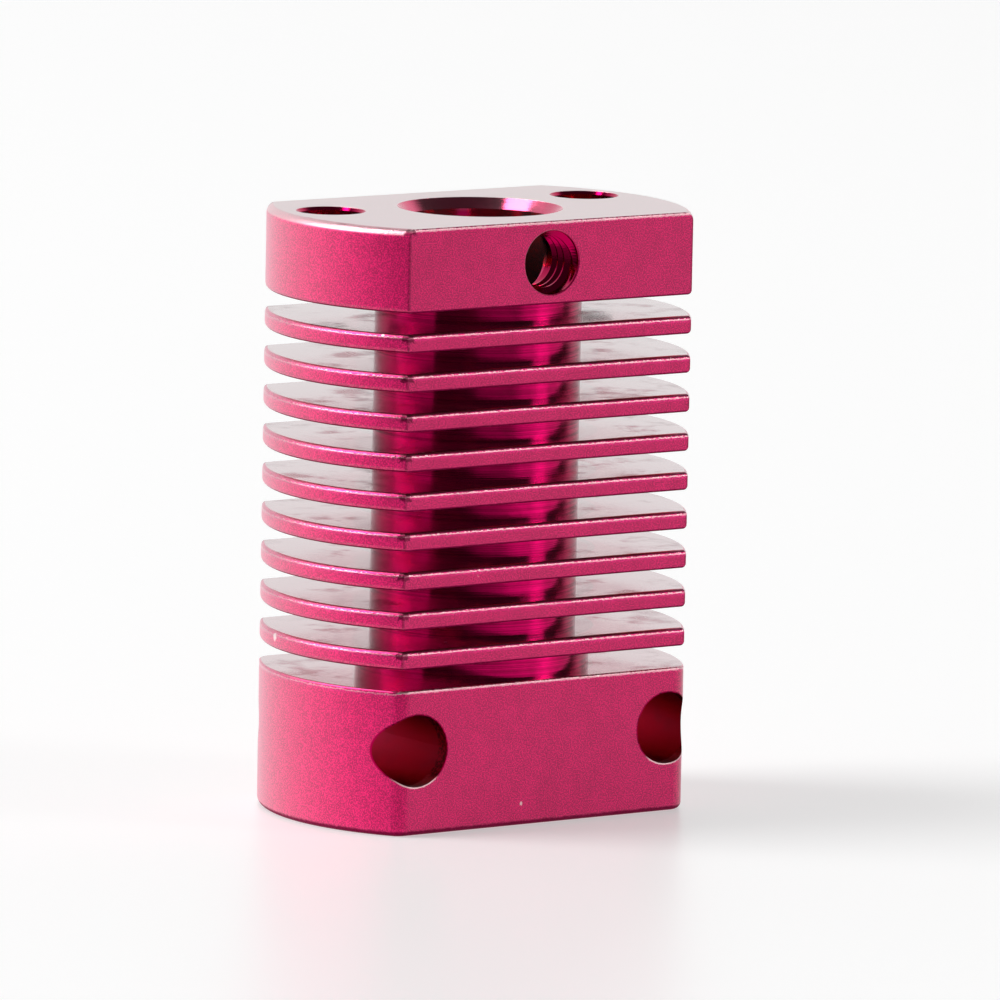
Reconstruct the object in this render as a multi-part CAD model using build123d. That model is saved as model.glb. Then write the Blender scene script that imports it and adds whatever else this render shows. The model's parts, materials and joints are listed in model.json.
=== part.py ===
"""Hotend heat sink: one aluminium bar, turned, milled with two flats, drilled and tapped.

Frame: millimetres, +Z up. The origin is the centre of the flat base. +Z runs along
the turned axis to the flange that takes the heat break, and the milled flats face -Y
and +Y, with the clamp screw in the -Y one.
"""
from build123d import *
import os

# Driving dimensions
BODY_D = 20.0             # turned outside of block, fins and flange
FLAT_WIDTH = 12.0         # across the two milled flats
BLOCK_H = 6.85            # solid block at the base
FIN_COUNT = 9
FIN_T = 0.85
FIN_GAP = 1.0             # one grooving tool wide
FLANGE_T = 3.9
CORE_D = 9.7              # core between the fins
NECK_D = 11.0             # thicker core in the lowest groove, round the tube port

BORE_D = 7.0              # smooth bore that clamps the heat break
BORE_DEPTH = 12.0
BORE_LEAD_D = 7.8         # cone at the mouth of that bore
BORE_LEAD_DEPTH = 0.5
TUBE_D = 4.2              # passage for the 4 mm filament tube
PORT_D = 8.0              # pocket in the base for the tube's collet
PORT_DEPTH = 7.2
PORT_LEAD = 0.4

M3_D = 3.0                # both kinds of M3 hole, drawn at their major diameter
M3_LEAD = 0.15
BLOCK_SCREW_X = 7.2       # the pair that holds the heater block, either side of the bore
BLOCK_SCREW_Y = 1.8       # and set back from its axis
CLAMP_LEAD = 0.06
CARRIAGE_HOLE_D = 3.4     # clearance holes through the block for M3 screws
CARRIAGE_HOLE_X = 7.1
CARRIAGE_HOLE_Z = 4.0

FLANGE_EDGE_R = 0.42      # turned top edge of the flange
BASE_EDGE_R = 0.35        # all round the foot of the block
BLOCK_CORNER_R = 0.9      # upright corners of the block, between its flats and its round sides
FIN_EDGE_R = 0.22         # turned edges of the fins, and their upper edges along the flats
EDGE_R = 0.1              # every other edge that is only broken

PITCH = FIN_T + FIN_GAP
FLANGE_Z = BLOCK_H + FIN_GAP + FIN_COUNT * PITCH
HEIGHT = FLANGE_Z + FLANGE_T
BODY_R = BODY_D / 2
PAST = 1.0                # how far a cutter runs past the face it opens


def disc(radius, z_low, z_high):
    """A cylinder on the turned axis, between two heights."""
    return Pos(0, 0, (z_low + z_high) / 2) * Cylinder(radius, z_high - z_low)


def cone(radius_low, radius_high, z_low, z_high):
    """A cone on the turned axis, between two heights."""
    return Pos(0, 0, (z_low + z_high) / 2) * Cone(radius_low, radius_high, z_high - z_low)


def rim(shape, top):
    """The round edge at the top or the bottom of a turned piece."""
    edges = shape.edges().filter_by(GeomType.CIRCLE).sort_by(Axis.Z)
    return edges[-1] if top else edges[0]


def mill_flats(shape, top_radius):
    """Cut both flats, and round the long edges that they leave."""
    box = shape.bounding_box()
    stock = Box(BODY_D + PAST, FLAT_WIDTH, box.max.Z - box.min.Z)
    long_edges = stock.edges().filter_by(Axis.X).sort_by(Axis.Z)
    stock = fillet(long_edges[:2], EDGE_R)
    long_edges = stock.edges().filter_by(Axis.X).sort_by(Axis.Z)
    stock = fillet(long_edges[-2:], top_radius)
    return shape & (Pos(0, 0, (box.max.Z + box.min.Z) / 2) * stock)


def make_block():
    """The solid base, with soft upright corners and a rounded foot."""
    section = Circle(BODY_R) & Rectangle(BODY_D + PAST, FLAT_WIDTH)
    section = fillet(section.vertices(), BLOCK_CORNER_R)
    body = extrude(section, BLOCK_H)
    body = fillet(body.faces().sort_by(Axis.Z)[0].edges(), BASE_EDGE_R)
    return fillet(body.faces().sort_by(Axis.Z)[-1].edges(), EDGE_R)


def make_fin(z_low):
    """One thin fin with rounded edges."""
    body = disc(BODY_R, z_low, z_low + FIN_T)
    body = fillet([rim(body, top=False), rim(body, top=True)], FIN_EDGE_R)
    return mill_flats(body, FIN_EDGE_R)


def make_flange():
    """The thick top fin that takes the heat break and the heater block's screws."""
    body = disc(BODY_R, FLANGE_Z, HEIGHT)
    body = fillet(rim(body, top=False), FIN_EDGE_R)
    body = fillet(rim(body, top=True), FLANGE_EDGE_R)
    return mill_flats(body, EDGE_R)


def turned_body():
    """Block, core, fins and flange as the one bar that they are turned from."""
    body = make_block() + make_flange()
    body += disc(CORE_D / 2, BLOCK_H / 2, FLANGE_Z + FLANGE_T / 2)
    body += disc(NECK_D / 2, BLOCK_H / 2, BLOCK_H + FIN_GAP + FIN_T / 2)
    for index in range(FIN_COUNT):
        body += make_fin(BLOCK_H + FIN_GAP + index * PITCH)
    return body


def axial_cutter():
    """Heat-break bore from the top, tube port from the base, and the passage between."""
    cutter = disc(BORE_D / 2, HEIGHT - BORE_DEPTH, HEIGHT + PAST)
    cutter += cone(BORE_D / 2, BORE_LEAD_D / 2, HEIGHT - BORE_LEAD_DEPTH, HEIGHT)
    cutter += disc(TUBE_D / 2, PORT_DEPTH / 2, HEIGHT - BORE_DEPTH / 2)
    cutter += disc(PORT_D / 2, -PAST, PORT_DEPTH)
    cutter += cone(PORT_D / 2 + PORT_LEAD, PORT_D / 2, 0, PORT_LEAD)
    return cutter


def block_screw_cutter(side):
    """One M3 hole down through the flange, with a small lead at its mouth."""
    place = Pos(side * BLOCK_SCREW_X, BLOCK_SCREW_Y, 0)
    hole = disc(M3_D / 2, FLANGE_Z - FIN_GAP / 2, HEIGHT + PAST)
    hole += cone(M3_D / 2, M3_D / 2 + M3_LEAD, HEIGHT - M3_LEAD, HEIGHT)
    return place * hole


def clamp_screw_cutter():
    """The M3 hole through the -Y flat into the bore, at half the flange's height."""
    reach = FLAT_WIDTH / 2 + PAST
    hole = Cylinder(M3_D / 2, reach, align=(Align.CENTER, Align.CENTER, Align.MIN))
    lead = Cone(M3_D / 2, M3_D / 2 + CLAMP_LEAD, CLAMP_LEAD,
                align=(Align.CENTER, Align.CENTER, Align.MAX))
    hole += Pos(0, 0, FLAT_WIDTH / 2) * lead
    return Pos(0, 0, FLANGE_Z + FLANGE_T / 2) * Rot(90, 0, 0) * hole


def carriage_cutter(side):
    """One clearance hole through the block from flat to flat, open at its corners."""
    hole = Rot(90, 0, 0) * Cylinder(CARRIAGE_HOLE_D / 2, FLAT_WIDTH + 2 * PAST)
    return Pos(side * CARRIAGE_HOLE_X, 0, CARRIAGE_HOLE_Z) * hole


def make_heat_sink():
    """The finished piece."""
    body = turned_body() - axial_cutter() - clamp_screw_cutter()
    for side in (-1, 1):
        body = body - block_screw_cutter(side) - carriage_cutter(side)
    return body


heat_sink = make_heat_sink()
solid = heat_sink.solids()[0]
solid.label = "heat_sink"
os.makedirs("parts", exist_ok=True)
export_step(solid, "parts/heat_sink.step")
print(f"height {HEIGHT:.2f} mm, pitch {PITCH:.2f} mm, solids {len(heat_sink.solids())}")
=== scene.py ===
"""Looks of a bead-blasted, anodised hotend heat sink, built round its CAD frame.

The heat sink's own solid comes from the frame and keeps its shape. This file gives it
its finish, adds the threads of its three screw holes, and sets a plain studio round it.
"""
import json
import math

import bmesh
import bpy
import numpy as np
from mathutils import Matrix, Vector


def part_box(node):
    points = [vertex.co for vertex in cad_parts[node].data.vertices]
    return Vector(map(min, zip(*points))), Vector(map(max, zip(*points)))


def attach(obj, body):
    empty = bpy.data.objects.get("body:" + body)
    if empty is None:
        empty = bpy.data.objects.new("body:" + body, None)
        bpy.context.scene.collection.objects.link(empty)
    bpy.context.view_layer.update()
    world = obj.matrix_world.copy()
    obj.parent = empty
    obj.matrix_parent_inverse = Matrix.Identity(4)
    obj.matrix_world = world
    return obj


bl_info = {
    "name": "Hotend heat sink looks",
    "version": (1, 0, 0),
    "blender": (4, 5, 0),
    "location": "View3D > Sidebar > Heat sink",
    "description": "Anodised finish, screw threads and a plain studio for a hotend heat sink",
    "category": "Object",
}

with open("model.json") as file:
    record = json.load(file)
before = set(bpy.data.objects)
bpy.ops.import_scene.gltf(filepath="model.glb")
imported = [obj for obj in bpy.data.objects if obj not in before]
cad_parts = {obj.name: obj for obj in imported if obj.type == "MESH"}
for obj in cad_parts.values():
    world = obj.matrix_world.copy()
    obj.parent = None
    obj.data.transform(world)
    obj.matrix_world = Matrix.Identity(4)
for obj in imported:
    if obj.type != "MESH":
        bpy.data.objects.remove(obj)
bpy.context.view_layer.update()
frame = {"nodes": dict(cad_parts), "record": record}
BODY = "root"
NODE = "heat_sink"
MOUNTS = {mount["name"]: mount for mount in frame["record"]["mounts"]}
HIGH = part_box(NODE)[1]
MM = 0.001

# Sizes of the turned shape in millimetres, with heights from its base
TOP = HIGH.z / MM
BLOCK_TOP = 6.85
FLANGE_BOTTOM = 24.5
FIN_PITCH = 1.85
FIN_GAP = 1.0
ROUND_R = HIGH.x / MM
FLAT_Y = HIGH.y / MM
CORNER_X = math.sqrt(ROUND_R ** 2 - FLAT_Y ** 2)
NECK_R = 5.5                  # thickest part of the core
SCREW_LEAD = 0.15             # how much wider the heater-block holes are at their mouths
BORE_LEAD = 0.4               # and the heat-break bore at its own

# Marks on the edges, in millimetres
GLOSS_BAND = (0.34, 0.22)     # below a top rim: where its burnished band fades in and is full
HIGHLIGHT_LINE = (0.14, 0.18)      # below a top rim: the ragged line of painted highlight
BROKEN_EDGE = 0.11            # how much nearer the rim that line lies where the edge is sharper
BROKEN_HIGHLIGHT = 0.06            # and how much wider it is there
DARK_LINE = (0.02, 0.07)      # below a fin's top rim along the flats: the thin dark line of painted shade
UNDERSIDE_SHADE = (0.11, 0.06)      # above a bottom rim: where the painted shade of the underside fades in and is full
ROLLED_RIM = 0.5              # height of the flange's round top edge, which on its arcs is paled with a painted highlight
CORNER_LINE = (0.12, 0.04)    # from an upright corner: the patchy dark line of painted shade down it
CORNER_SPOT = (0.36, 0.26)   # from the same corner: the dark spot of painted shade at its top
RIM_MARKS = (-0.1, 0.05)       # from a carriage hole's edge: the dark ragged marks round its mouth and the painted highlight on its lower rim
WALL_MARGIN = 0.03            # how far a hole's finish reaches past its wall

# Chips in the rims: x, y, z and size, in millimetres
CHIPS = ((-9.79, 2.03, 8.45, 0.22), (6.9, -6.0, 21.6, 0.08), (-8.7, -4.9, 23.45, 0.10),
         (3.1, -6.0, 6.8, 0.08), (9.6, 2.8, 12.4, 0.15), (-4.2, 6.0, 17.9, 0.12))

# Lights: name, azimuth and elevation in degrees, distance, width and height in metres, radiance
LIGHTS = (("left_lamp", -121, 42, 1.6, 0.7, 1.5, 7.0),
          ("left_panel", -110, 22, 1.7, 1.7, 1.1, 0.5),
          ("right_lamp", 43, 22, 1.6, 0.35, 0.4, 8.4),
          ("right_panel", 42, 20, 1.8, 0.7, 1.0, 0.9))
FLOOR_HALF = 6.0          # half the side of the board under the part, in metres

THREAD_STEPS = 60         # points in one turn of a thread
THREAD_SINK = 0.01 * MM   # how far a thread's root is sunk into the hole's wall
THREAD_START = 0.1 * MM   # how far the heater-block threads start below their mouths


def mount_radius(name):
    """The wall radius of a round mount, in metres."""
    return MOUNTS[name]["dims"]["r_mm"] * MM


# Shader expressions


class Value:
    """A socket that adds Math nodes when it is used in an expression."""

    def __init__(self, surface, socket):
        self.surface = surface
        self.socket = socket

    def maths(self, operation, *others):
        node = self.surface.node("ShaderNodeMath", {"operation": operation},
                                 dict(enumerate((self,) + others)))
        return Value(self.surface, node.outputs[0])

    def __add__(self, other):
        return self.maths("ADD", other)

    __radd__ = __add__

    def __mul__(self, other):
        return self.maths("MULTIPLY", other)

    __rmul__ = __mul__

    def __sub__(self, other):
        return self.maths("SUBTRACT", other)

    def __rsub__(self, other):
        return (self * -1.0) + other

    def __truediv__(self, other):
        return self.maths("DIVIDE", other)

    def __pow__(self, other):
        return self.maths("POWER", other)

    def __abs__(self):
        return self.maths("ABSOLUTE")

    def __or__(self, other):
        """The larger of two masks."""
        return self.maths("MAXIMUM", other)

    def __and__(self, other):
        """The smaller of two masks."""
        return self.maths("MINIMUM", other)

    def sqrt(self):
        return self.maths("SQRT")

    def modulo(self, length):
        """What is left of this value past a whole number of lengths."""
        return self.maths("FLOORED_MODULO", length)

    def ramp(self, start, end):
        """0 at start, 1 at end, with a smooth step between, in either direction."""
        node = self.surface.node(
            "ShaderNodeMapRange", {"interpolation_type": "SMOOTHSTEP"},
            {"Value": self, "From Min": start, "From Max": end})
        return Value(self.surface, node.outputs["Result"])

    def inside(self, low, high, soft):
        """1 between low and high, fading to 0 over the soft distance outside."""
        return self.ramp(low - soft, low) & self.ramp(high + soft, high)


class Surface:
    """A node tree and the one method that adds nodes to it."""

    def __init__(self, owner):
        owner.use_nodes = True
        self.tree = owner.node_tree
        self.tree.nodes.clear()

    def node(self, kind, settings=None, inputs=None):
        """Add a node: its settings are set first, then the values or links of its sockets."""
        made = self.tree.nodes.new(kind)
        for key, value in (settings or {}).items():
            setattr(made, key, value)
        for key, value in (inputs or {}).items():
            if isinstance(value, Value):
                self.tree.links.new(value.socket, made.inputs[key])
            else:
                made.inputs[key].default_value = value
        return made

    def value(self, kind, settings=None, inputs=None, output=0):
        """The same, but returns one output, ready for an expression."""
        return Value(self, self.node(kind, settings, inputs).outputs[output])

    def noise(self, place, scale, detail=2.0, roughness=0.5):
        return self.value("ShaderNodeTexNoise", {}, {
            "Vector": place, "Scale": scale, "Detail": detail, "Roughness": roughness})

    def mix_colour(self, factor, colour_a, colour_b):
        return self.value("ShaderNodeMix", {"data_type": "RGBA"},
                          {0: factor, 6: colour_a, 7: colour_b}, output=2)

    def mix_shader(self, factor, shader_a, shader_b):
        return self.value("ShaderNodeMixShader", {}, {0: factor, 1: shader_a, 2: shader_b})


def opaque(colour):
    return (*colour[:3], 1.0)


# Finishes


def anodised_material(finish):
    """Dyed oxide over aluminium: blasted outside, turned and glossy between the fins, with
    burnished edges and a few bare nicks, painted highlights along the rims, and painted shade
    under the rims, down the corners and on the core.
    A pale glaze covers it where it is seen edge on."""
    material = bpy.data.materials.new("anodised_aluminium_finish")
    surface = Surface(material)
    coordinates = surface.node("ShaderNodeTexCoord")
    place = Value(surface, coordinates.outputs["Object"])
    facing = surface.node("ShaderNodeSeparateXYZ", {}, {
        0: Value(surface, coordinates.outputs["Normal"])})
    split = surface.node("ShaderNodeSeparateXYZ", {}, {0: place})
    x, y, z = (Value(surface, split.outputs[axis]) / MM for axis in range(3))
    level = abs(Value(surface, facing.outputs[2])).ramp(0.93, 0.99)
    radius = (x * x + y * y).sqrt()

    core = radius.ramp(NECK_R + 0.25, NECK_R + 0.15) & z.inside(BLOCK_TOP, FLANGE_BOTTOM, 0.1)
    fin_faces = level & z.inside(BLOCK_TOP - 0.1, FLANGE_BOTTOM + 0.1, 0.05)
    drilled, tapped, bored = hole_walls(x, y, z)
    turned = core | fin_faces | drilled | tapped | bored

    grain = surface.noise(place, 15500.0, 2.0, 0.6)
    mottle = surface.noise(place, 1400.0, 2.0, 0.5)
    smudge = surface.noise(place, 420.0, 3.0, 0.6)
    ragged = surface.noise(place, 6500.0, 3.0, 0.7) - 0.5
    rings = surface.value("ShaderNodeCombineXYZ", {}, {0: radius * 9.0, 1: z * 14.0, 2: 0.0})
    lathe = surface.noise(rings, 1.0, 3.0, 0.6)

    outside = (1.0 - turned) & (1.0 - level)
    edge, underside_shade, burr_highlight, corner, dark_line = edge_marks(x, y, z, ragged, outside, bored)
    rim_dark, rim_highlight = drilled_rims(x, y, z, ragged)
    bare = nicks(x, y, z, ragged) | (mottle.ramp(0.80, 0.84) & outside)

    dye = surface.mix_colour((grain - 0.5) * 5.0 + (mottle - 0.5) * 0.6 + 0.5,
                             opaque(finish.dye_dark), opaque(finish.dye_light))
    grazing = surface.value("ShaderNodeLayerWeight", {}, {"Blend": 0.5}, output="Facing")
    # lathe streaks and smudges darken the core, and it is also painted darker where seen edge on,
    # a painted shade between the fins
    streak_and_shade = core * (lathe.ramp(0.60, 0.42) * 0.4 + smudge.ramp(0.6, 0.4) * 0.2
                     + grazing.ramp(0.35, 0.8) * 0.4)
    dye = surface.mix_colour(turned, dye, opaque(finish.dye_turned))
    dye = surface.mix_colour(streak_and_shade, dye, opaque(finish.shade_and_streak_colour))
    dye = surface.mix_colour(drilled | tapped, dye, opaque(finish.dye_drilled))
    # painted shade: the corners, undersides and the line over the fins' flats, with the dark marks
    # round the carriage holes, go toward the dark colour
    dark = corner | rim_dark | underside_shade * 0.75 | dark_line * 0.5
    dye = surface.mix_colour(dark, dye, opaque(finish.shade_and_streak_colour))
    # real wear (nicks and bare spots) together with the painted highlights along the rims, the
    # flange's top edge, the bore's lead-in and the carriage holes' lower rims
    wear_and_highlight = (burr_highlight | bare | rim_highlight) * (1.0 - corner)
    dye = surface.mix_colour(wear_and_highlight, dye, opaque(finish.bare_metal_and_highlight))

    rough = finish.blasted_roughness * (1.0 - turned) + turned * (
        finish.turned_roughness + (lathe - 0.5) * 0.06 + smudge.ramp(0.5, 0.7) * 0.15)
    rough = rough - edge * (finish.blasted_roughness - finish.edge_roughness) + drilled * 0.2
    rough = rough - (level & (1.0 - turned)) * 0.25
    height = grain * finish.grain_depth * (1.0 - turned) + lathe * finish.lathe_depth * turned
    height = height + ragged * edge * finish.burr_depth
    bump = surface.value("ShaderNodeBump", {}, {
        "Strength": 1.0, "Distance": MM, "Height": height})
    coat = 1.0 - (drilled | tapped | core * 0.75 | corner | underside_shade)
    metal = surface.value("ShaderNodeBsdfPrincipled", {}, {
        "Base Color": dye, "Metallic": 1.0, "Roughness": rough, "Normal": bump,
        "Coat Weight": coat, "Coat Roughness": 0.45, "Coat IOR": 1.32})
    sheen = surface.mix_colour(fin_faces * (smudge.ramp(0.45, 0.7) * 0.4 + 0.6),
                               opaque(finish.glaze), opaque(finish.glaze_turned))
    glaze = surface.value("ShaderNodeBsdfPrincipled", {}, {
        "Base Color": sheen, "Metallic": 1.0, "Roughness": rough, "Normal": bump})
    matt_glaze = grazing ** 1.9 * (1.0 - turned) * (level * 0.65 + 0.45) * (1.0 - underside_shade)
    bright_glaze = grazing.ramp(0.5, 0.95) ** 1.8 * (fin_faces | bored * 0.15)
    skin = surface.mix_shader(matt_glaze + bright_glaze, metal, glaze)
    surface.node("ShaderNodeOutputMaterial", {}, {"Surface": skin})
    return material


def edge_marks(x, y, z, ragged, outside, bored):
    """Masks of the marks along the edges: the burnished band below each top rim, the painted shade
    on the underside of each bottom rim, the ragged line of painted highlight in that band and on
    the flange's round top edge and the bore's lead-in, the patchy painted shade down the upright
    corners with a dark spot of painted shade at their tops, and the thin dark line of painted
    shade over the fins' flats."""
    flat_side = abs(y).ramp(FLAT_Y - 0.3, FLAT_Y - 0.2)
    sharper = flat_side & (z.ramp(FLANGE_BOTTOM, FLANGE_BOTTOM + 0.1)
                           | z.ramp(BLOCK_TOP + 0.1, BLOCK_TOP))
    below_rim = rim_distance(z) + sharper * BROKEN_EDGE
    edge = below_rim.ramp(*GLOSS_BAND) & outside
    # painted shade: the underside of each bottom rim, mixed toward the dark colour
    underside_shade = (above_rim(z) + ragged * 0.05).ramp(*UNDERSIDE_SHADE) & outside
    # painted shade: a thin dark line just below each fin's top rim on the flats
    dark_line = (below_rim + ragged * 0.1).inside(*DARK_LINE, 0.02) & outside & flat_side

    # painted highlight: a pale line below each top rim, made ragged like a burr
    line_low, line_high = HIGHLIGHT_LINE
    line_high = sharper * BROKEN_HIGHLIGHT + line_high
    burr_highlight = (below_rim + ragged * 0.25).inside(line_low, line_high, 0.02) & outside
    burr_highlight = burr_highlight * (flat_side * 0.3 + 0.45) * (ragged.ramp(-0.12, 0.08) * 0.5 + 0.5)
    # painted highlight: the flange's round top edge on its arcs
    rolled = z.ramp(TOP - ROLLED_RIM - 0.1, TOP - ROLLED_RIM + 0.1)
    burr_highlight = burr_highlight | (edge & rolled) * (1.0 - flat_side) * 0.6
    # painted highlight: the bore's lead-in near the top is paled a little
    burr_highlight = burr_highlight | (bored & z.ramp(TOP - 0.7, TOP - 0.4)) * 0.12

    aside = abs(x) - CORNER_X
    beyond = abs(y) - FLAT_Y
    apart = (aside * aside + beyond * beyond).sqrt()
    # painted shade: a patchy dark line down each upright corner
    corner = (apart + ragged * 0.2).ramp(*CORNER_LINE) * (ragged.ramp(-0.1, 0.1) * 0.4 + 0.2)
    # painted shade: a dark spot where an upright corner meets a top rim, kept to the left-hand
    # corners
    shade_spot = (apart + ragged * 0.6).ramp(*CORNER_SPOT) & (below_rim + ragged * 0.4).ramp(0.4, 0.3)
    corner = corner | shade_spot * x.ramp(0.5, -0.5) * 0.8
    corner = corner & z.ramp(BLOCK_TOP + 0.5, BLOCK_TOP + 0.6) & outside
    return edge, underside_shade, burr_highlight, corner, dark_line


def rim_distance(z):
    """How far a point lies below the nearest top rim: a fin's, the block's or the flange's."""
    below_fin = (z - BLOCK_TOP).modulo(FIN_PITCH) * -1.0 + FIN_PITCH
    in_flange = z.ramp(FLANGE_BOTTOM - 0.6, FLANGE_BOTTOM - 0.5)
    in_block = z.ramp(BLOCK_TOP - 0.9, BLOCK_TOP - 1.0)
    return below_fin * (1.0 - in_flange) + (TOP - z) * in_flange + in_block * 9.0


def above_rim(z):
    """How far a point lies above the nearest bottom rim: a fin's, the flange's or the block's."""
    above_fin = (z - BLOCK_TOP - FIN_GAP).modulo(FIN_PITCH)
    in_flange = z.ramp(FLANGE_BOTTOM + 0.9, FLANGE_BOTTOM + 1.0)
    in_block = z.ramp(BLOCK_TOP + 0.1, BLOCK_TOP)
    return above_fin * (1.0 - in_block) + z * in_block * 0.35 + in_flange * 9.0


def nicks(x, y, z, ragged):
    """1 on the chips in the rims, where bare metal shows."""
    found = None
    for chip_x, chip_y, chip_z, size in CHIPS:
        across = x - chip_x
        deep = y - chip_y
        rise = z - chip_z
        away = (across * across + deep * deep + rise * rise).sqrt() + ragged * size
        spot = away.ramp(size, size * 0.7)
        found = spot if found is None else found | spot
    return found


def hole_walls(x, y, z):
    """Masks of the drilled, tapped and bored holes, whose walls are smoother than the outside."""
    pattern = MOUNTS["carriage_holes"]
    drill_x = pattern["dims"]["spacing_x_mm"] / 2
    drill_r = pattern["dims"]["hole_r_mm"] + WALL_MARGIN
    drilled = round_mask(abs(x) - drill_x, z - pattern["pos_m"][2] / MM, drill_r)
    clamp = MOUNTS["clamp_screw_hole"]
    clamped = round_mask(x, z - clamp["pos_m"][2] / MM, clamp["dims"]["r_mm"] + WALL_MARGIN)
    clamped = clamped & y.inside(-FLAT_Y + 0.06, -3.4, 0.02)
    block = MOUNTS["block_screw_hole_right"]
    screwed = round_mask(abs(x) - block["pos_m"][0] / MM, y - block["pos_m"][1] / MM,
                         block["dims"]["r_mm"] + SCREW_LEAD + 0.02)
    screwed = screwed & z.inside(FLANGE_BOTTOM, TOP - 0.02, 0.01)
    bored = round_mask(x, y, mount_radius("heat_break_bore") / MM + BORE_LEAD + WALL_MARGIN)
    bored = bored & (z.ramp(TOP, TOP - 0.02) | z.ramp(BLOCK_TOP, BLOCK_TOP - 0.1))
    return drilled, clamped | screwed, bored


def drilled_rims(x, y, z, ragged):
    """Dark ragged marks round the carriage holes' mouths, and a painted highlight line on their
    lower rims.
    """
    pattern = MOUNTS["carriage_holes"]
    across = abs(x) - pattern["dims"]["spacing_x_mm"] / 2
    along = z - pattern["pos_m"][2] / MM
    past_rim = (across * across + along * along).sqrt() - pattern["dims"]["hole_r_mm"]
    rim = (past_rim + ragged * 0.12).inside(*RIM_MARKS, 0.02)
    rim = rim & abs(y).ramp(FLAT_Y - 0.8, FLAT_Y - 0.6)
    lower = along.ramp(-1.2, -1.5)
    # the pale line on the lower rim is a painted highlight
    return rim * (1.0 - lower) * ragged.ramp(-0.1, 0.1), rim * lower * 0.8


def round_mask(across, along, radius):
    """1 within the radius of a hole's axis, given the two distances from it."""
    return (across * across + along * along).sqrt().ramp(radius + 0.03, radius)


def floor_material(studio):
    """Matt pale board, lit from below; in reflections it is painted dark past a line in front of
    the part, a painted shade that the camera doesn't see.
    """
    material = bpy.data.materials.new("pale_board")
    surface = Surface(material)
    board = surface.value("ShaderNodeBsdfPrincipled", {}, {
        "Base Color": opaque(studio.floor_colour), "Roughness": 0.35,
        "Specular IOR Level": 0.3, "Emission Color": (1.0, 1.0, 1.0, 1.0),
        "Emission Strength": studio.floor_glow})
    dark = surface.value("ShaderNodeBsdfPrincipled", {}, {
        "Base Color": (0.02, 0.02, 0.02, 1.0), "Roughness": 0.6})
    coordinates = surface.node("ShaderNodeTexCoord")
    split = surface.node("ShaderNodeSeparateXYZ", {}, {
        0: Value(surface, coordinates.outputs["Object"])})
    x, y = (Value(surface, split.outputs[axis]) for axis in range(2))
    right, _, back = view_axes(studio.azimuth, 0.0, 0.0)
    forward = x * back.x + y * back.y
    side = x * right.x + y * right.y
    shaded = (forward - abs(side) * 0.36 - side * 0.2).ramp(0.03, 0.05)
    shade = shaded * (side.ramp(0.03, -0.03) * 0.3 + 0.65)
    seen = surface.value("ShaderNodeLightPath", output="Is Camera Ray")
    shader = surface.mix_shader((1.0 - shade) | seen, dark, board)
    surface.node("ShaderNodeOutputMaterial", {}, {"Surface": shader})
    return material


# Threads


def thread_surface(radius, pitch, depth, turns, start):
    """A thread ridge inside a hole, as a closed strip: radius less the ridge's height, which
    rises from 0 at the root to depth at the crest and back as the height along the axis passes
    one pitch, and is carried round a helix that begins at the start angle. Rows run along the
    ridge, columns round its section, and the ridge fades out over a quarter turn at each end."""
    steps = int(turns * THREAD_STEPS) + 1
    turned = np.linspace(0.0, 2 * math.pi * turns, steps)
    across = np.array([-0.47, -0.08, 0.08, 0.47])
    rise = np.array([0.0, 1.0, 1.0, 0.0])
    fade = np.clip(np.minimum(turned, turned[-1] - turned) / (math.pi / 2), 0.0, 1.0)
    ridge = radius + THREAD_SINK - (depth + THREAD_SINK) * rise[None, :] * fade[:, None]
    height = (turned[:, None] / (2 * math.pi) + across[None, :]) * pitch
    angle = turned[:, None] + start
    return np.stack([ridge * np.cos(angle), ridge * np.sin(angle), height], axis=-1)


def tube_faces(rows, columns):
    """Quads round and along a closed strip of points, with a face across each end."""
    row, column = np.meshgrid(np.arange(rows - 1), np.arange(columns), indexing="ij")
    corner = (row * columns + column).ravel()
    beside = (row * columns + (column + 1) % columns).ravel()
    sides = np.stack([corner, beside, beside + columns, corner + columns], axis=-1)
    ends = np.stack([np.arange(columns), np.arange(columns)[::-1] + (rows - 1) * columns])
    return np.concatenate([sides, ends])


def add_piece(name, points, faces, material):
    """A mesh object at the origin that rides on the heat sink's body, its faces outwards."""
    mesh = bpy.data.meshes.new(name)
    mesh.from_pydata(points.tolist(), [], faces.tolist())
    shell = bmesh.new()
    shell.from_mesh(mesh)
    bmesh.ops.recalc_face_normals(shell, faces=shell.faces)
    if shell.calc_volume(signed=True) < 0.0:
        bmesh.ops.reverse_faces(shell, faces=shell.faces)
    shell.to_mesh(mesh)
    shell.free()
    mesh.materials.append(material)
    piece = bpy.data.objects.new(name, mesh)
    bpy.context.scene.collection.objects.link(piece)
    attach(piece, BODY)
    return piece


def make_thread(name, mount_name, mouth, start, thread, material):
    """A helical ridge in one of the screw holes, from just inside its mouth to its far end."""
    mount = MOUNTS[mount_name]
    axis = Vector(mount["axis"])
    length = mount["dims"]["length_mm"] * MM
    turns = length / thread.pitch - 1.3
    points = thread_surface(mount_radius(mount_name), thread.pitch, thread.depth, turns, start)
    rows, columns = points.shape[:2]
    turn = np.array(axis.to_track_quat("Z", "Y").to_matrix())
    outermost = np.array(mount["pos_m"]) + np.array(axis) * (mouth - thread.pitch * 0.6)
    placed = (points.reshape(-1, 3) * np.array([1.0, 1.0, -1.0])) @ turn.T + outermost
    return add_piece(name, placed, tube_faces(rows, columns), material)


# Sizes and colours that a user would change


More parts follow.
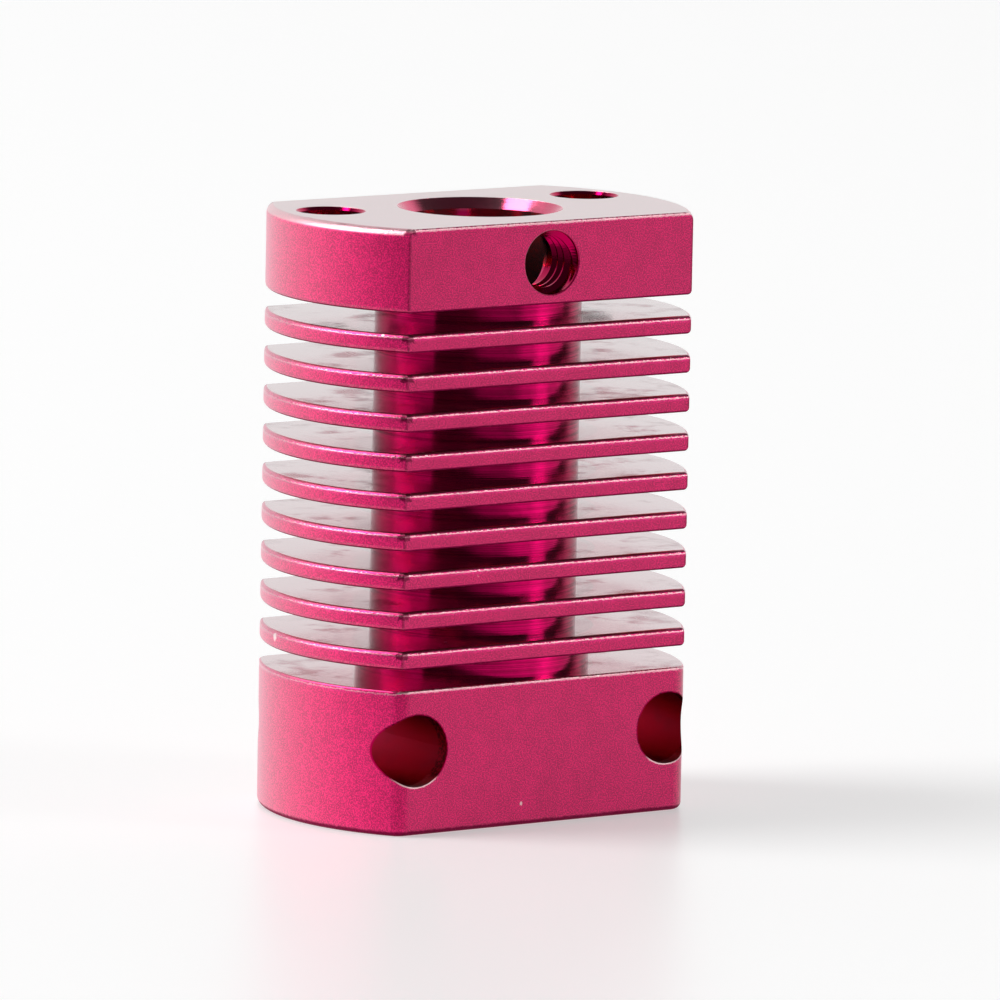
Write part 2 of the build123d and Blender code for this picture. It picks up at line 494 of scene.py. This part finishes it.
class HeatSinkFinish(bpy.types.PropertyGroup):
    """Colours and gloss of the anodised skin."""

    dye_dark: bpy.props.FloatVectorProperty(
        name="Dye, dark grain", description="Metal colour in the hollows of the grain",
        subtype="COLOR", default=(0.56, 0.004, 0.115), min=0.0, max=1.0)
    dye_light: bpy.props.FloatVectorProperty(
        name="Dye, light grain", description="Metal colour on the tops of the grain",
        subtype="COLOR", default=(1.0, 0.012, 0.24), min=0.0, max=1.0)
    dye_turned: bpy.props.FloatVectorProperty(
        name="Dye, turned faces", description="Metal colour of the glossy turned faces",
        subtype="COLOR", default=(0.75, 0.001, 0.13), min=0.0, max=1.0)
    # painted shade: this dark colour paints the shade under the rims, down the upright corners and
    # over the fins' flats, the core's streaks and shade, and the dark marks round the carriage
    # holes
    shade_and_streak_colour: bpy.props.FloatVectorProperty(
        name="Dye, corners", description="Metal colour of the rough upright corners",
        subtype="COLOR", default=(0.10, 0.0005, 0.02), min=0.0, max=1.0)
    # also the colour of the painted highlights along the rims, on the flange's top edge, in the
    # bore's lead-in and on the carriage holes' lower rims
    bare_metal_and_highlight: bpy.props.FloatVectorProperty(
        name="Worn metal", description="Metal colour where the dye is worn off the edges",
        subtype="COLOR", default=(0.98, 0.72, 0.73), min=0.0, max=1.0)
    glaze: bpy.props.FloatVectorProperty(
        name="Glaze", description="Colour of the oxide seen edge on",
        subtype="COLOR", default=(0.93, 0.89, 0.885), min=0.0, max=1.0)
    glaze_turned: bpy.props.FloatVectorProperty(
        name="Glaze, turned faces", description="Colour of the smudged fin faces seen edge on",
        subtype="COLOR", default=(0.58, 0.56, 0.56), min=0.0, max=1.0)
    dye_drilled: bpy.props.FloatVectorProperty(
        name="Dye, drilled walls", description="Metal colour inside the carriage holes",
        subtype="COLOR", default=(0.52, 0.0003, 0.075), min=0.0, max=1.0)
    blasted_roughness: bpy.props.FloatProperty(
        name="Blasted roughness", description="Roughness of the outside",
        default=0.66, min=0.0, max=1.0)
    turned_roughness: bpy.props.FloatProperty(
        name="Turned roughness", description="Roughness of the core and fin faces",
        default=0.12, min=0.0, max=1.0)
    edge_roughness: bpy.props.FloatProperty(
        name="Edge roughness", description="Roughness of the burnished rims",
        default=0.36, min=0.0, max=1.0)
    burr_depth: bpy.props.FloatProperty(
        name="Burr depth", description="Depth of the ragged marks along the rims, in millimetres",
        default=0.03, min=0.0, max=0.2)
    grain_depth: bpy.props.FloatProperty(
        name="Grain depth", description="Depth of the blasted grain, in millimetres",
        default=0.006, min=0.0, max=0.1)
    lathe_depth: bpy.props.FloatProperty(
        name="Lathe mark depth", description="Depth of the turning marks, in millimetres",
        default=0.004, min=0.0, max=0.1)


class HeatSinkThread(bpy.types.PropertyGroup):
    """The screw thread of the three M3 holes."""

    pitch: bpy.props.FloatProperty(
        name="Pitch", description="Distance from crest to crest", unit="LENGTH",
        default=0.5 * MM, min=0.1 * MM, max=2.0 * MM, precision=5)
    depth: bpy.props.FloatProperty(
        name="Depth", description="Height of the crest above the root", unit="LENGTH",
        default=0.25 * MM, min=0.05 * MM, max=1.0 * MM, precision=5)


class HeatSinkStudio(bpy.types.PropertyGroup):
    """Camera, floor and lights."""

    azimuth: bpy.props.FloatProperty(
        name="Camera azimuth", description="Camera's turn from the front, to the right",
        subtype="ANGLE", default=math.radians(-34.7))
    elevation: bpy.props.FloatProperty(
        name="Camera elevation", description="Camera's height angle",
        subtype="ANGLE", default=math.radians(8.29))
    roll: bpy.props.FloatProperty(
        name="Camera roll", description="Tilt of the camera about its own line of sight",
        subtype="ANGLE", default=math.radians(1.115))
    distance: bpy.props.FloatProperty(
        name="Camera distance", description="From the camera to the point it looks at",
        unit="LENGTH", default=0.5376)
    lens: bpy.props.FloatProperty(
        name="Focal length", description="Lens, for a 36 mm sensor", unit="CAMERA",
        default=411.7)
    aim_right: bpy.props.FloatProperty(
        name="Aim offset", description="How far the camera aims to the right of the axis",
        unit="LENGTH", default=0.0012)
    aim_height: bpy.props.FloatProperty(
        name="Aim height", description="Height of the point that the camera looks at",
        unit="LENGTH", default=0.01452)
    floor_colour: bpy.props.FloatVectorProperty(
        name="Floor", description="Colour of the board under the part",
        subtype="COLOR", default=(0.55, 0.55, 0.55), min=0.0, max=1.0)
    floor_glow: bpy.props.FloatProperty(
        name="Floor glow", description="Light that comes up through the board",
        default=0.435, min=0.0, max=2.0)


# Operators, one for each group of pieces


class HEATSINK_OT_finish(bpy.types.Operator):
    """Give the heat sink its anodised skin"""

    bl_idname = "heatsink.finish"
    bl_label = "Heat sink finish"

    def execute(self, context):
        node = frame["nodes"][NODE]
        material = anodised_material(context.scene.heatsink_finish)
        for slot in node.material_slots:
            slot.material = material
        return {"FINISHED"}


class HEATSINK_OT_threads(bpy.types.Operator):
    """Cut the threads of the clamp hole and the two heater-block holes"""

    bl_idname = "heatsink.threads"
    bl_label = "Screw threads"

    def execute(self, context):
        thread = context.scene.heatsink_thread
        material = frame["nodes"][NODE].material_slots[0].material
        clamp_mouth = FLAT_Y * MM - abs(MOUNTS["clamp_screw_hole"]["pos_m"][1])
        make_thread("clamp_screw_thread", "clamp_screw_hole", clamp_mouth,
                    math.radians(-50), thread, material)
        for side in ("left", "right"):
            name = f"block_screw_hole_{side}"
            mouth = HIGH.z - MOUNTS[name]["pos_m"][2] - THREAD_START
            make_thread(f"block_screw_thread_{side}", name, mouth, 0.0, thread, material)
        return {"FINISHED"}


def view_axes(azimuth, elevation, roll):
    """Right, up and backward directions of a camera that looks at the part."""
    back = Vector((math.sin(azimuth) * math.cos(elevation),
                   -math.cos(azimuth) * math.cos(elevation), math.sin(elevation)))
    level = Vector((math.cos(azimuth), math.sin(azimuth), 0.0))
    rise = back.cross(level)
    right = math.cos(roll) * level + math.sin(roll) * rise
    up = math.cos(roll) * rise - math.sin(roll) * level
    return right, up, back


def add_camera(studio):
    """The camera, at the angle and distance that the part is shown from."""
    right, up, back = view_axes(studio.azimuth, studio.elevation, studio.roll)
    place = Vector((0, 0, studio.aim_height)) + right * studio.aim_right
    place = place + back * studio.distance
    data = bpy.data.cameras.new("camera")
    data.sensor_width = 36.0
    data.lens = studio.lens
    data.clip_start = 0.01
    data.clip_end = 50.0
    camera = bpy.data.objects.new("camera", data)
    camera.matrix_world = Matrix.Translation(place) @ Matrix(
        (right, up, back)).transposed().to_4x4()
    bpy.context.scene.collection.objects.link(camera)
    bpy.context.scene.camera = camera


def add_light(name, azimuth, elevation, distance, width, height, radiance):
    """A rectangular light that faces the part, given by its direction, size and brightness."""
    _, _, back = view_axes(math.radians(azimuth), math.radians(elevation), 0.0)
    data = bpy.data.lights.new(name, "AREA")
    data.shape = "RECTANGLE"
    data.size = width
    data.size_y = height
    data.energy = radiance * math.pi * width * height
    light = bpy.data.objects.new(name, data)
    light.location = back * distance
    light.rotation_euler = back.to_track_quat("Z", "Y").to_euler()
    bpy.context.scene.collection.objects.link(light)
    return light


def add_floor(studio):
    """A large board whose top is the plane that the part stands on."""
    half = FLOOR_HALF
    mesh = bpy.data.meshes.new("floor")
    mesh.from_pydata([(-half, -half, 0), (half, -half, 0), (half, half, 0), (-half, half, 0)],
                     [], [(0, 1, 2, 3)])
    mesh.materials.append(floor_material(studio))
    floor = bpy.data.objects.new("floor", mesh)
    bpy.context.scene.collection.objects.link(floor)


def set_world(studio):
    """White backdrop behind the part, dim room in front and overhead; pale in plain view."""
    world = bpy.data.worlds.new("studio")
    bpy.context.scene.world = world
    surface = Surface(world)
    coordinates = surface.node("ShaderNodeTexCoord")
    split = surface.node("ShaderNodeSeparateXYZ", {}, {
        0: Value(surface, coordinates.outputs["Generated"])})
    x, y, z = (Value(surface, split.outputs[axis]) for axis in range(3))
    right, _, back = view_axes(studio.azimuth, 0.0, 0.0)
    behind = (x * back.x + y * back.y) * -1.0
    side = x * right.x + y * right.y
    glow = (behind - side * 0.35).ramp(0.1, 0.45) * z.ramp(0.85, 0.6) * 0.83 + 0.05
    glow = glow * (side.ramp(-0.95, -0.25) * 0.3 + 0.7)
    seen = surface.value("ShaderNodeLightPath", output="Is Camera Ray")
    strength = glow * (1.0 - seen) + seen * 0.97
    background = surface.value("ShaderNodeBackground", {}, {
        "Color": (1.0, 1.0, 1.0, 1.0), "Strength": strength})
    surface.node("ShaderNodeOutputWorld", {}, {"Surface": background})


class HEATSINK_OT_stage(bpy.types.Operator):
    """Set the camera, the floor and the lights"""

    bl_idname = "heatsink.stage"
    bl_label = "Studio"

    def execute(self, context):
        studio = context.scene.heatsink_studio
        context.scene.view_settings.view_transform = "Standard"
        add_camera(studio)
        add_floor(studio)
        set_world(studio)
        for light in LIGHTS:
            add_light(*light)
        return {"FINISHED"}


class HEATSINK_PT_panel(bpy.types.Panel):
    """Lists the operators and their settings"""

    bl_idname = "HEATSINK_PT_panel"
    bl_label = "Heat sink"
    bl_space_type = "VIEW_3D"
    bl_region_type = "UI"
    bl_category = "Heat sink"

    def draw(self, context):
        for name, group in SETTINGS.items():
            column = self.layout.column(align=True)
            for key in group.__annotations__:
                column.prop(getattr(context.scene, name), key)
        for operator in OPERATORS:
            self.layout.operator(operator.bl_idname)


SETTINGS = {
    "heatsink_finish": HeatSinkFinish,
    "heatsink_thread": HeatSinkThread,
    "heatsink_studio": HeatSinkStudio,
}
OPERATORS = (HEATSINK_OT_finish, HEATSINK_OT_threads, HEATSINK_OT_stage)
CLASSES = (*SETTINGS.values(), *OPERATORS, HEATSINK_PT_panel)


def register():
    for item in CLASSES:
        bpy.utils.register_class(item)
    for name, group in SETTINGS.items():
        setattr(bpy.types.Scene, name, bpy.props.PointerProperty(type=group))


def unregister():
    for name in SETTINGS:
        delattr(bpy.types.Scene, name)
    for item in reversed(CLASSES):
        bpy.utils.unregister_class(item)


def main():
    """Register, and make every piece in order."""
    register()
    bpy.ops.heatsink.finish()
    bpy.ops.heatsink.threads()
    bpy.ops.heatsink.stage()


if __name__ == "__main__":
    main()
